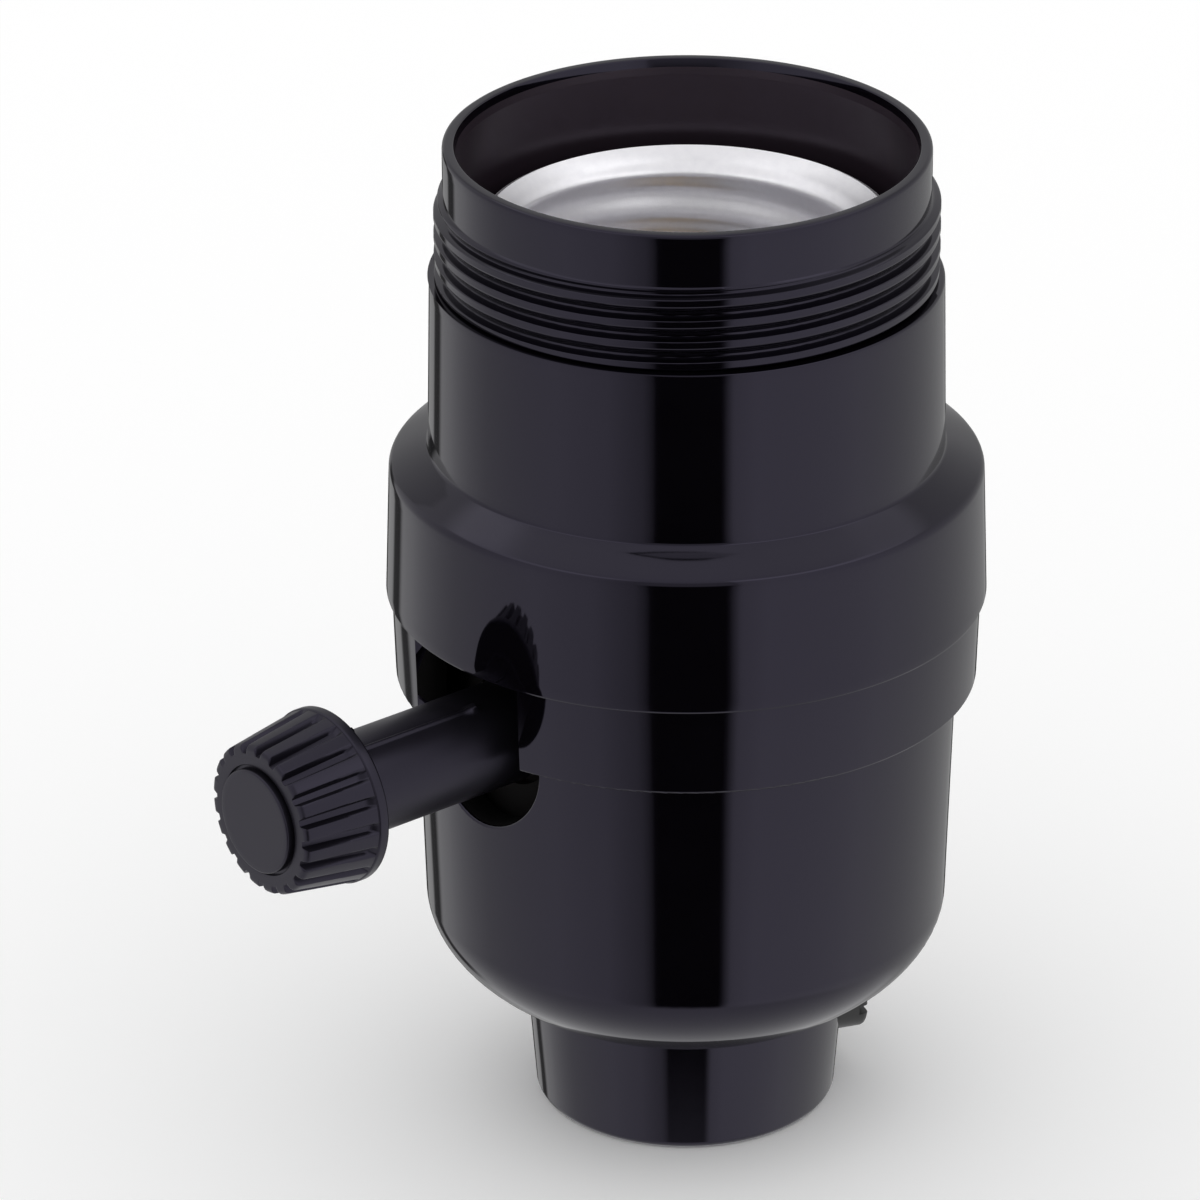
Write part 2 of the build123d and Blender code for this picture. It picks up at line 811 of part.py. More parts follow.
def switch_rotor():
    """The insulating square cam, with its faces cut back for the strip."""
    form = block((-rotor_half, -rotor_half, -rotor_back), (rotor_half, rotor_half, rotor_front))
    form &= upright(-rotor_back, rotor_front, rotor_corner_radius)
    half = shaft_square / 2 + seat_gap
    form -= block((-half, -half, -rotor_back), (half, half, rotor_front))
    width = contact_width / 2 + seat_gap
    gap = rotor_half - contact_thickness - seat_gap
    leg_end = -(rotor_back - contact_length) + seat_gap
    for side in (-1, 1):
        low, high = sorted((side * gap, side * rotor_width))
        form -= block((-width, low, -rotor_back), (width, high, leg_end))
    return on_knob_axis(form)


def knob():
    """The knob and its stem, one moulding, with a bore for the insert."""
    face = flange_start + knob_length
    grip_foot = flange_start + flange_thickness
    grip = Pos(0, 0, (grip_foot + face) / 2) * Cone(grip_foot_radius, grip_end_radius, face - grip_foot)
    grip = chamfer(circles_at(grip, grip_end_radius, face), grip_edge_bevel)
    slope = math.degrees(math.atan((grip_foot_radius - grip_end_radius) / (face - grip_foot)))
    middle = (grip_foot_radius + grip_end_radius) / 2
    depth = 2 * groove_depth
    groove = Rot(0, -slope, 0) * Box(depth, groove_width, 2 * knob_length)
    groove = Pos(middle, 0, (grip_foot + face) / 2) * groove
    keep = upright(grip_foot, face + knob_length, 2 * flange_radius)
    for index in range(rib_count):
        grip -= Rot(0, 0, index * 360 / rib_count) * groove & keep
    form = grip + upright(flange_start, grip_foot, flange_radius)
    form += upright(face, face + knob_disc_height, knob_disc_radius)
    form += upright(stem_start, flange_start, stem_radius)
    line = block(
        (0, -parting_width / 2, body_top_radius + parting_setback),
        (stem_radius + parting_height, parting_width / 2, flange_start),
    )
    form += Rot(0, 0, parting_angle) * line
    insert_end = stem_start + insert_setback + insert_length
    form -= upright(stem_start, insert_end + seat_gap, insert_radius + seat_gap)
    return on_knob_axis(form)


def knob_insert():
    """The tapped metal sleeve in the stem."""
    low = stem_start + insert_setback
    form = upright(low, low + insert_length, insert_radius)
    return on_knob_axis(form - upright(low, low + insert_length, shaft_radius + seat_gap))


pieces = (
    outer_shell, cap, cap_bushing, cap_set_screw, interior_body, switch_base, base_screws,
    assembly_screws, screw_shell, shell_rivets, centre_contact, centre_contact_rivet,
    load_contact_spring, line_contact_spring, line_contact_rivet, detent_spring,
    hot_terminal_plate, neutral_terminal_plate, hot_terminal_screw, neutral_terminal_screw,
    shaft_bush, switch_shaft, shaft_clip, switch_rotor, rotor_contact, knob, knob_insert,
)

os.makedirs("parts", exist_ok=True)
for piece in pieces:
    export_step(piece(), f"parts/{piece.__name__}.step")
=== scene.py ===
"""The looks of a rotary knob lamp socket, dressed around its packed construction.

The frame is the construction's own: +Z up out of the mouth, the knob towards -Y and the
origin at the centre of the neck's end face. Sizes in the classes are millimetres and
degrees, and meshes are in metres.
"""

import json
import logging
import math
from dataclasses import dataclass, field
from enum import Enum
from typing import Iterable, Optional, Sequence

import bmesh
import bpy
import numpy as np
from mathutils import Matrix, Vector

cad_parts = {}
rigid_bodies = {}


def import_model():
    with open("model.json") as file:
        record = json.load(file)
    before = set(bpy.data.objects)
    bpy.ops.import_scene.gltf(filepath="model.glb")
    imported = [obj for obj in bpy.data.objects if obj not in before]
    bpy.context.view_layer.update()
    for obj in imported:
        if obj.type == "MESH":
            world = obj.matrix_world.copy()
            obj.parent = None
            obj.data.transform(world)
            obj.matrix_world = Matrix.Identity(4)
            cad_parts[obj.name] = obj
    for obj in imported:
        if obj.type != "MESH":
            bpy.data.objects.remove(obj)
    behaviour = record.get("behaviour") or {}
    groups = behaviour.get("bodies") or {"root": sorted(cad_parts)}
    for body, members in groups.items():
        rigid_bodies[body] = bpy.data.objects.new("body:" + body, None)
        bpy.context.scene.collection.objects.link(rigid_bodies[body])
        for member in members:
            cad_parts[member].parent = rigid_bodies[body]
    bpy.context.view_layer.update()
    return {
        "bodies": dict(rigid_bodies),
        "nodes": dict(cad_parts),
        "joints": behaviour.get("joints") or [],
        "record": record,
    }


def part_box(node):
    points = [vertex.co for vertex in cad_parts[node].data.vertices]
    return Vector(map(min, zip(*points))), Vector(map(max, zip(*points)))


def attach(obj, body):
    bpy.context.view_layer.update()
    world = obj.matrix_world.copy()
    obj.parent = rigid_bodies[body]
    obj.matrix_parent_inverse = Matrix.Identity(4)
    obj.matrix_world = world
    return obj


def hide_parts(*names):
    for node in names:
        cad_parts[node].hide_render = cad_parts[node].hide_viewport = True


LOG = logging.getLogger("lamp_socket")
MM = 0.001
# A length in millimetres that is too small to matter
TINY = 0.001
# How near two vertices are, in metres, when they count as one: in a new piece, and in a CAD node
MERGE = 1e-7
WELD = 1e-6
# A full spin is made as one part and copied round, which is much faster than all its steps
SPIN_PARTS = 8
# The angle in degrees past which a CAD node's edge stays sharp
NODE_SHARP = 30.0
# How many finer layers a finish's clouds and bumps get, and how strong each finer layer is
CLOUD_DETAIL = 3.0
BUMP_DETAIL = 2.0
LAYER_STRENGTH = 0.55


class Body(Enum):
    """The construction's groups that a new piece rides on."""

    SOCKET = "socket"
    KNOB = "turn_knob"


@dataclass(frozen=True)
class Corner:
    """One corner of a section: its radius, its height and how far it is rounded."""

    r: float
    z: float
    round: float = 0.0


def arc_points(before: Vector, corner: Vector, after: Vector, radius: float,
               pieces: int) -> list[Vector]:
    """Round one corner of an outline.

    Args:
        before: The outline's point before the corner.
        corner: The corner itself.
        after: The outline's point after the corner.
        radius: The radius of the rounding.
        pieces: How many straight pieces the arc gets.

    Returns:
        The arc's points, from the first tangent point to the last.
    """
    back = (before - corner).normalized()
    ahead = (after - corner).normalized()
    half = back.angle(ahead) / 2
    centre = corner + (back + ahead).normalized() * radius / math.sin(half)
    first = corner + back * radius / math.tan(half) - centre
    sweep = first.angle_signed(corner + ahead * radius / math.tan(half) - centre)
    return [centre + Matrix.Rotation(-sweep * k / pieces, 2) @ first for k in range(pieces + 1)]


def section(corners: Sequence[Corner], row: float = 1.0, arc: int = 6) -> list[Vector]:
    """Turn the corners of a closed section into its outline.

    Args:
        corners: The section's corners in order.
        row: The longest straight piece, in millimetres.
        arc: How many pieces each rounded corner gets.

    Returns:
        The outline's points as radius and height in millimetres.
    """
    spots = [Vector((c.r, c.z)) for c in corners]
    bends: list[Vector] = []
    for index, corner in enumerate(corners):
        before, after = spots[index - 1], spots[(index + 1) % len(spots)]
        if corner.round:
            bends += arc_points(before, spots[index], after, corner.round, arc)
        else:
            bends.append(spots[index])
    points: list[Vector] = []
    for start, end in zip(bends, bends[1:] + bends[:1]):
        rows = max(1, math.ceil((end - start).length / row))
        points += [start.lerp(end, k / rows) for k in range(rows)]
    return points


def bezier(a: Sequence[float], b: Sequence[float], c: Sequence[float], d: Sequence[float],
           pieces: int) -> list[Corner]:
    """Sample a Bezier curve of radii and heights, ends included.

    Args:
        a: The curve's start.
        b: The start's handle.
        c: The end's handle.
        d: The curve's end.
        pieces: How many straight pieces stand for the curve.

    Returns:
        The curve's corners in order.
    """
    corners = []
    for index in range(pieces + 1):
        t = index / pieces
        weights = ((1 - t) ** 3, 3 * t * (1 - t) ** 2, 3 * t * t * (1 - t), t ** 3)
        corners.append(Corner(*(sum(w * p[k] for w, p in zip(weights, (a, b, c, d))) for k in (0, 1))))
    return corners


def spun(points: Iterable[Vector], steps: int) -> bmesh.types.BMesh:
    """Spin a closed outline about the Z axis into a closed mesh.

    Args:
        points: The outline's points as radius and height in millimetres.
        steps: How many steps the full turn gets, a multiple of the spin's parts.

    Returns:
        The new mesh, in metres, with its faces pointing outwards.
    """
    mesh = bmesh.new()
    ring = [mesh.verts.new((p.x * MM, 0, p.y * MM)) for p in points]
    edges = [mesh.edges.new(pair) for pair in zip(ring, ring[1:] + ring[:1])]
    part = math.tau / SPIN_PARTS
    bmesh.ops.spin(mesh, geom=ring + edges, cent=(0, 0, 0), axis=(0, 0, 1), angle=part,
                   steps=steps // SPIN_PARTS)
    wedge = mesh.verts[:] + mesh.edges[:] + mesh.faces[:]
    bmesh.ops.spin(mesh, geom=wedge, cent=(0, 0, 0), axis=(0, 0, 1), angle=math.tau - part,
                   steps=SPIN_PARTS - 1, use_duplicate=True)
    bmesh.ops.remove_doubles(mesh, verts=mesh.verts, dist=MERGE)
    bmesh.ops.recalc_face_normals(mesh, faces=mesh.faces)
    return mesh


def smooth_step(low: float, high: float, value: float) -> float:
    """Rise smoothly from 0 at one value to 1 at another."""
    t = min(1.0, max(0.0, (value - low) / (high - low)))
    return t * t * (3 - 2 * t)


def push_out(vert: bmesh.types.BMVert, by: float) -> None:
    """Move a vertex straight away from the Z axis, by millimetres."""
    reach = math.hypot(vert.co.x, vert.co.y)
    factor = (reach + by * MM) / reach
    vert.co.x *= factor
    vert.co.y *= factor


def turn_of(vert: bmesh.types.BMVert) -> float:
    """Give a vertex's angle about the Z axis as a share of a full turn."""
    return math.atan2(vert.co.y, vert.co.x) / math.tau


@dataclass(frozen=True)
class TurnedSkin:
    """The exact normals of a turned wall, for a mesh whose facets lie on it.

    A facet's corner belongs to the wall if it lies within the reach and the facet turns away from
    the wall by less than the widest angle. The outline is smooth where it turns by less than the
    bend, and a facet with a corner below the skin's depth belongs to the inside.
    """

    outline: Sequence[Vector]
    reach: float = 0.03
    bend: float = 20.0
    widest: float = 30.0
    skin_depth: float = 0.6

    def ends(self) -> tuple[np.ndarray, np.ndarray, np.ndarray, np.ndarray]:
        """Find the outline's pieces and the normals at both ends of each.

        Returns:
            The starts, the steps, the normals at the starts and those at the ends.
        """
        starts = np.array([tuple(p) for p in self.outline])
        steps = np.roll(starts, -1, axis=0) - starts
        own = np.stack([steps[:, 1], -steps[:, 0]], axis=1)
        own /= np.linalg.norm(own, axis=1, keepdims=True)
        before = np.roll(own, 1, axis=0)
        smooth = (own * before).sum(axis=1) > math.cos(math.radians(self.bend))
        shared = own + before
        shared /= np.linalg.norm(shared, axis=1, keepdims=True)
        first = np.where(smooth[:, None], shared, own)
        last = np.where(np.roll(smooth, -1)[:, None], np.roll(shared, -1, axis=0), own)
        return starts, steps, first, last

    def apply(self, data: bpy.types.Mesh) -> None:
        """Give the wall's corners its normals, and the other faces the second material.

        Args:
            data: The mesh, in metres and in triangles.
        """
        starts, steps, first, last = self.ends()
        places = np.array([tuple(v.co) for v in data.vertices]) / MM
        corners = np.array([tuple(f.vertices) for f in data.polygons]).ravel()
        facing = np.repeat(np.array([tuple(f.normal) for f in data.polygons]), 3, axis=0)
        spot = places[corners]
        radius = np.hypot(spot[:, 0], spot[:, 1])
        outward = spot[:, :2] / np.maximum(radius, TINY)[:, None]
        flat = np.stack([(facing[:, :2] * outward).sum(axis=1), facing[:, 2]], axis=1)
        best = np.full(len(corners), math.cos(math.radians(self.widest)))
        normals = np.zeros((len(corners), 3))
        depth = np.full(len(corners), np.inf)
        for start, step, near, far in zip(starts, steps, first, last):
            away = np.stack([radius, spot[:, 2]], axis=1) - start
            along = np.clip((away @ step) / (step @ step), 0, 1)
            gap = np.linalg.norm(away - along[:, None] * step, axis=1)
            depth = np.minimum(depth, gap)
            found = near + along[:, None] * (far - near)
            found /= np.linalg.norm(found, axis=1, keepdims=True)
            likeness = (found * flat).sum(axis=1)
            better = (gap < self.reach) & (likeness > best)
            best[better] = likeness[better]
            normals[better, :2] = (found[:, :1] * outward)[better]
            normals[better, 2] = found[better, 1]
        data.normals_split_custom_set(normals.tolist())
        inside = depth.reshape(-1, 3).max(axis=1) > self.skin_depth
        data.polygons.foreach_set("material_index", inside.astype(np.int32))


@dataclass(frozen=True)
class Helix:
    """A right-handed screw thread's wave along a turned wall.

    The crest's half width and the widths of its two flanks are shares of the pitch, and the
    thread fades in and out at its two ends.
    """

    pitch: float
    start: float
    end: float
    fade: float
    crest: float = 0.0
    upper: float = 0.5
    lower: float = 0.5
    phase: float = 0.0

    def height(self, z: float, turn: float) -> float:
        """Give the ridge's height at a place as a share of its full height.

        Args:
            z: The place's height in millimetres.
            turn: Its angle as a share of a full turn.

        Returns:
            0 in the groove and 1 on the ridge.
        """
        share = ((z - self.start) / self.pitch - turn - self.phase) % 1.0
        above = 1 - smooth_step(self.crest, self.crest + self.upper, share)
        below = smooth_step(1 - self.crest - self.lower, 1 - self.crest, share)
        inside = smooth_step(self.start, self.start + self.fade, z)
        inside *= 1 - smooth_step(self.end - self.fade, self.end, z)
        return inside * max(above, below)


def add_object(name: str, mesh: bmesh.types.BMesh, sharp: float = 35.0,
               skin: Optional[TurnedSkin] = None) -> bpy.types.Object:
    """Make a finished object from a mesh, smooth apart from its sharp edges.

    Args:
        name: The object's name.
        mesh: The mesh, which is freed.
        sharp: The angle in degrees past which an edge stays sharp.
        skin: The turned wall that its facets lie on, where they are not even.

    Returns:
        The new object at the origin.
    """
    data = bpy.data.meshes.new(name)
    mesh.to_mesh(data)
    mesh.free()
    data.shade_smooth()
    data.set_sharp_from_angle(angle=math.radians(sharp))
    piece = bpy.data.objects.new(name, data)
    bpy.context.scene.collection.objects.link(piece)
    if skin:
        skin.apply(data)
    else:
        even = piece.modifiers.new("even normals", "WEIGHTED_NORMAL")
        even.keep_sharp = True
    return piece


def linear(hex_colour: str) -> tuple[float, float, float, float]:
    """Turn an sRGB hex colour into the linear colour that a shader takes."""
    values = [int(hex_colour[k:k + 2], 16) / 255 for k in (1, 3, 5)]
    out = [v / 12.92 if v <= 0.04045 else ((v + 0.055) / 1.055) ** 2.4 for v in values]
    return out[0], out[1], out[2], 1.0


def add_node(tree: bpy.types.NodeTree, kind: str, settings: Optional[dict] = None,
             links: Optional[dict] = None) -> bpy.types.Node:
    """Add a node with its settings and links.

    Args:
        tree: The node tree.
        kind: The node's type name.
        settings: Values by attribute name or input socket name.
        links: Output sockets by input socket name or index.

    Returns:
        The new node.
    """
    node = tree.nodes.new(kind)
    for key, value in (settings or {}).items():
        if isinstance(key, str) and hasattr(node, key):
            setattr(node, key, value)
        else:
            node.inputs[key].default_value = value
    for key, socket in (links or {}).items():
        tree.links.new(socket, node.inputs[key])
    return node


@dataclass(frozen=True)
class Finish:
    """A surface: its common name, its two colours and how rough it is.

    The cast tints its gloss. The mottle, the wave and the grain are the widths in millimetres of
    its cloudy changes, its slow unevenness and its fine texture, and the last two have heights.
    """

    name: str
    colour: str
    colour_two: str
    roughness: float
    roughness_two: float
    metallic: float = 0.0
    ior: float = 1.5
    cast: str = "#ffffff"
    mottle: float = 4.0
    grain: float = 0.2
    grain_height: float = 0.0
    wave: float = 3.0
    wave_height: float = 0.0

    @property
    def is_metal(self) -> bool:
        """Tell whether the surface is metal, which keeps the shader's own IOR and tint."""
        return self.metallic > 0.5

    def build(self) -> bpy.types.Material:
        """Build the material's nodes on Object coordinates.

        Returns:
            The new material.
        """
        material = bpy.data.materials.new(self.name)
        material.use_nodes = True
        tree = material.node_tree
        shader = tree.nodes["Principled BSDF"]
        shader.inputs["Metallic"].default_value = self.metallic
        if not self.is_metal:
            shader.inputs["IOR"].default_value = self.ior
            shader.inputs["Specular Tint"].default_value = linear(self.cast)
        place = add_node(tree, "ShaderNodeTexCoord").outputs["Object"]
        cloud = self.noise(tree, place, self.mottle, CLOUD_DETAIL)
        # A Mix node has sockets for each type of data: inputs 6 and 7 and output 2 are its colours
        colour = add_node(tree, "ShaderNodeMix", {"data_type": "RGBA"})
        tree.links.new(cloud, colour.inputs["Factor"])
        colour.inputs[6].default_value = linear(self.colour)
        colour.inputs[7].default_value = linear(self.colour_two)
        tree.links.new(colour.outputs[2], shader.inputs["Base Color"])
        rough = add_node(tree, "ShaderNodeMapRange",
                         {"To Min": self.roughness, "To Max": self.roughness_two}, {"Value": cloud})
        tree.links.new(rough.outputs["Result"], shader.inputs["Roughness"])
        normal = None
        for size, height in ((self.wave, self.wave_height), (self.grain, self.grain_height)):
            if height:
                links = {"Height": self.noise(tree, place, size, BUMP_DETAIL)}
                if normal:
                    links["Normal"] = normal
                normal = add_node(tree, "ShaderNodeBump", {"Strength": 1.0, "Distance": height * MM},
                                  links).outputs["Normal"]
        if normal:
            tree.links.new(normal, shader.inputs["Normal"])
        return material

    @staticmethod
    def noise(tree: bpy.types.NodeTree, place: bpy.types.NodeSocket, size: float,
              detail: float) -> bpy.types.NodeSocket:
        """Add a noise whose lumps are so many millimetres wide."""
        settings = {"Scale": 1 / (size * MM), "Detail": detail, "Roughness": LAYER_STRENGTH}
        return add_node(tree, "ShaderNodeTexNoise", settings, {"Vector": place}).outputs["Fac"]


# Hot-pressed phenolic: black, glossy from a polished mould, with a violet cast in its gloss
PHENOLIC = Finish("moulded phenolic", "#040305", "#060508", 0.03, 0.06, cast="#e2daff",
                  wave=3.5, wave_height=0.002)
# The same moulding where its core was pulled out: a brownish black, rubbed to a soft sheen, with
# painted light: its colour is lighter than the resin to stand in for the light on the bore's wall
CORE_PHENOLIC_PAINTED_LIGHT = Finish("core side phenolic, painted lighter", "#211a20", "#251e24", 0.26, 0.34, cast="#f4e6fa",
                       mottle=9.0, grain=0.15, grain_height=0.002)
# And inside the cap, where nobody polished the mould: flat black
RAW_PHENOLIC = Finish("raw phenolic", "#050405", "#080607", 0.75, 0.9, ior=1.3,
                      grain=0.15, grain_height=0.004)
# The same resin from an unpolished mould: dull, with a brownish mottle
INNER_PHENOLIC = Finish("unpolished phenolic", "#090708", "#0e0b0b", 0.75, 0.9, ior=1.3,
                        grain=0.12, grain_height=0.004)
# ABS from a finely etched mould: a satin black that blurs what it mirrors
KNOB_ABS = Finish("etched black abs", "#0a090c", "#0e0d11", 0.28, 0.38, cast="#e2daff",
                  grain=0.08, grain_height=0.003)
# Natural nylon: a warm milky white with a soft gloss
NYLON = Finish("natural nylon", "#d8d2bf", "#cbc4ae", 0.35, 0.5, ior=1.53)
# Deep-drawn aluminium sheet: bright, with a fine satin grain under a pale film of oxide
ALUMINIUM = Finish("drawn aluminium", "#f8f7fa", "#ecebf0", 0.27, 0.4, metallic=0.75,
                   mottle=0.6, grain=0.12, grain_height=0.006)
# Turned brass: warm yellow with fine tool marks
BRASS = Finish("turned brass", "#d9b56a", "#c9a257", 0.2, 0.32, metallic=1.0,
               grain=0.15, grain_height=0.001)
# Rolled phosphor bronze: redder than the brass
BRONZE = Finish("phosphor bronze", "#c98f63", "#b97f54", 0.24, 0.36, metallic=1.0,
                grain=0.15, grain_height=0.001)
# Nickel plate: a warm silver
NICKEL = Finish("nickel plate", "#cfcac0", "#c2bdb3", 0.18, 0.28, metallic=1.0,
                grain=0.2, grain_height=0.001)
# Zinc plated steel: a cool grey with cloudy spangle
ZINC = Finish("zinc plated steel", "#bfc4ca", "#aab0b8", 0.25, 0.4, metallic=1.0, mottle=1.2,
              grain=0.2, grain_height=0.001)
# Rolled spring steel: darker and plain
SPRING_STEEL = Finish("rolled spring steel", "#8f8f92", "#7f7f83", 0.22, 0.34, metallic=1.0,
                      grain=0.15, grain_height=0.001)
# Black oxide on steel: a film that hides the metal, nearly black with an oily sheen
BLACK_STEEL = Finish("black oxide steel", "#09090a", "#0f0f11", 0.35, 0.5, ior=1.6,
                     grain=0.15, grain_height=0.002)


@dataclass
class Dresser:
    """Gives the pieces their finishes and bodies."""

    frame: dict
    built: dict[str, bpy.types.Material] = field(default_factory=dict)

    def material(self, finish: Finish) -> bpy.types.Material:
        """Build a finish once and give its material."""
        if finish.name not in self.built:
            self.built[finish.name] = finish.build()
        return self.built[finish.name]

    def place(self, piece: bpy.types.Object, finish: Finish, body: Body, slot: str,
              replaced: str, inner: Optional[Finish] = None) -> bpy.types.Object:
        """Dress a new piece and tie it to the construction.

        Args:
            piece: The finished object.
            finish: Its surface.
            body: The moving group that it rides on.
            slot: The record's material slot; not used.
            replaced: The construction's node that it stands for.
            inner: The surface of the faces that carry the second material.

        Returns:
            The same object.
        """
        piece.data.materials.append(self.material(finish))
        if inner:
            piece.data.materials.append(self.material(inner))
        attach(piece, body.value)
        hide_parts(replaced)
        LOG.info("%s: %d faces, %s", piece.name, len(piece.data.polygons), finish.name)
        return piece

    def dress_node(self, name: str, finish: Finish) -> None:
        """Give one of the construction's own nodes a finish and smooth shading.

        Args:
            name: The node's name.
            finish: Its surface.
        """
        node = self.frame["nodes"][name]
        node.data.materials.clear()
        node.data.materials.append(self.material(finish))
        node.data.shade_smooth()
        node.modifiers.new("join facets", "WELD").merge_threshold = WELD
        split = node.modifiers.new("keep edges", "EDGE_SPLIT")
        split.split_angle = math.radians(NODE_SHARP)
        LOG.info("%s: dressed in %s", name, finish.name)

    def copy_node(self, name: str, new_name: str, skin: TurnedSkin) -> bpy.types.Object:
        """Copy a node's mesh into a new merged piece.

        Args:
            name: The node's name.
            new_name: The new object's name.
            skin: The turned wall that most of the piece's facets lie on.

        Returns:
            The new object.
        """
        mesh = bmesh.new()
        mesh.from_mesh(self.frame["nodes"][name].data)
        bmesh.ops.remove_doubles(mesh, verts=mesh.verts, dist=WELD)
        return add_object(new_name, mesh, skin=skin)


@dataclass
class Cap:
    """The lower moulding's outside: neck, dome, body and band."""

    neck_end: Corner = Corner(11.3, 0.0, 0.7)
    neck_top: Corner = Corner(12.05, 9.2, 0.3)
    foot_handle: tuple[float, float] = (14.7, 10.1)
    top_handle: tuple[float, float] = (19.4, 13.02)
    body_foot: tuple[float, float] = (19.55, 17.0)
    body_top: Corner = Corner(20.1, 35.05)
    band_foot: Corner = Corner(21.57, 35.05, 0.25)
    band_top: Corner = Corner(21.8, 41.75)
    pieces: int = 24
    row: float = 40.0
    arc: int = 12

    def skin(self) -> TurnedSkin:
        """Draw the outside, closed through the axis, with its normals."""
        dome = bezier((self.neck_top.r, self.neck_top.z), self.foot_handle, self.top_handle,
                      self.body_foot, self.pieces)
        corners = [Corner(0.0, 0.0), self.neck_end, self.neck_top, *dome[1:], self.body_top,
                   self.band_foot, self.band_top, Corner(0.0, self.band_top.z)]
        return TurnedSkin(section(corners, self.row, self.arc))


@dataclass
class OuterShell:
    """The upper moulding: collar, shoulder, tube, shade ring thread and mouth."""

    collar_foot_radius: float = 22.22
    collar_top_radius: float = 21.88
    collar_height: float = 8.8
    collar_bore: float = 20.1
    shoulder_edge_rise: float = 1.4
    shoulder_rise: float = 3.05
    shoulder_edge_round: float = 0.7
    shoulder_foot_round: float = 0.35
    tube_foot_radius: float = 19.0
    tube_top_radius: float = 18.75
    tube_length: float = 16.15
    crest_radius: float = 18.37
    root_radius: float = 17.78
    thread_length: float = 6.1
    thread_relief: float = 0.1
    mouth_radius: float = 17.7
    mouth_round: float = 0.3
    bore_radius: float = 16.6
    bore_draft: float = 0.2
    ledge_rise: float = 0.65
    lead_width: float = 0.25
    lead_depth: float = 1.2
    lead_round: float = 0.12
    lead_foot_round: float = 0.3
    edge_round: float = 0.15
    collar_foot_round: float = 0.25
    tube_top_round: float = 0.2
    pitch: float = 1.59
    phase: float = 0.535
    crest_share: float = 0.13
    upper_share: float = 0.17
    lower_share: float = 0.5
    thread_fade: float = 0.4
    run_in: float = 0.2
    steps: int = 240
    row: float = 0.7
    thread_row: float = 0.026

    def outline(self, seam: float, mouth: float) -> list[Vector]:
        """Draw the shell's closed section between its seam and its mouth.

        Args:
            seam: The height of its lower edge.
            mouth: The height of its upper edge.

        Returns:
            The section's points.
        """
        shoulder = seam + self.collar_height
        tube_top = shoulder + self.tube_length
        thread_top = tube_top + self.thread_length
        ledge = shoulder + self.ledge_rise
        corners = [
            Corner(self.collar_foot_radius, seam, self.collar_foot_round),
            Corner(self.collar_top_radius, shoulder + self.shoulder_edge_rise,
                   self.shoulder_edge_round),
            Corner(self.tube_foot_radius, shoulder + self.shoulder_rise, self.shoulder_foot_round),
            Corner(self.tube_top_radius, tube_top, self.tube_top_round),
        ]
        rows = round(self.thread_length / self.thread_row)
        for k in range(rows + 1):
            corners.append(Corner(self.root_radius, tube_top + self.thread_length * k / rows))
        corners += [
            Corner(self.mouth_radius, thread_top + self.thread_relief),
            Corner(self.mouth_radius, mouth, self.mouth_round),
            Corner(self.bore_radius + self.lead_width, mouth, self.lead_round),
            Corner(self.bore_radius, mouth - self.lead_depth, self.lead_foot_round),
            Corner(self.bore_radius - self.bore_draft, ledge, self.edge_round),
            Corner(self.collar_bore, ledge, self.edge_round),
            Corner(self.collar_bore, seam, self.edge_round),
        ]
        return section(corners, self.row)

    def build(self) -> bpy.types.Object:
        """Spin the shell, raise its thread and mark its bore.

        Returns:
            The new object.
        """
        low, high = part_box("outer_shell")
        seam, mouth = low.z / MM, high.z / MM
        mesh = spun(self.outline(seam, mouth), self.steps)
        self.raise_thread(mesh, seam + self.collar_height + self.tube_length)
        self.mark_bore(mesh, mouth)
        return add_object("shell_moulding", mesh)

    def raise_thread(self, mesh: bmesh.types.BMesh, foot: float) -> None:
        """Push the thread's ridges out of the wall.

        Args:
            mesh: The spun shell.
            foot: The height of the thread's lower end.
        """
        top = foot + self.thread_length
        thread = Helix(self.pitch, foot - self.run_in, top + self.thread_relief, self.thread_fade,
                       crest=self.crest_share, upper=self.upper_share, lower=self.lower_share,
                       phase=self.phase)
        middle = (self.bore_radius + self.root_radius) / 2
        rise = self.crest_radius - self.root_radius
        for vert in mesh.verts:
            z = vert.co.z / MM
            reach = math.hypot(vert.co.x, vert.co.y) / MM
            if foot - TINY < z < top + TINY and reach > middle:
                push_out(vert, rise * thread.height(z, turn_of(vert)))

    def mark_bore(self, mesh: bmesh.types.BMesh, mouth: float) -> None:
        """Give the bore's faces the second material, whose lighter colour is painted light.

        Args:
            mesh: The spun shell.
            mouth: The height of its upper edge.
        """
        for face in mesh.faces:
            spot = face.calc_center_median() / MM
            reach = math.hypot(spot.x, spot.y)
            if reach < self.bore_radius + self.lead_width / 2 and spot.z < mouth - self.lead_width:
                face.material_index = 1


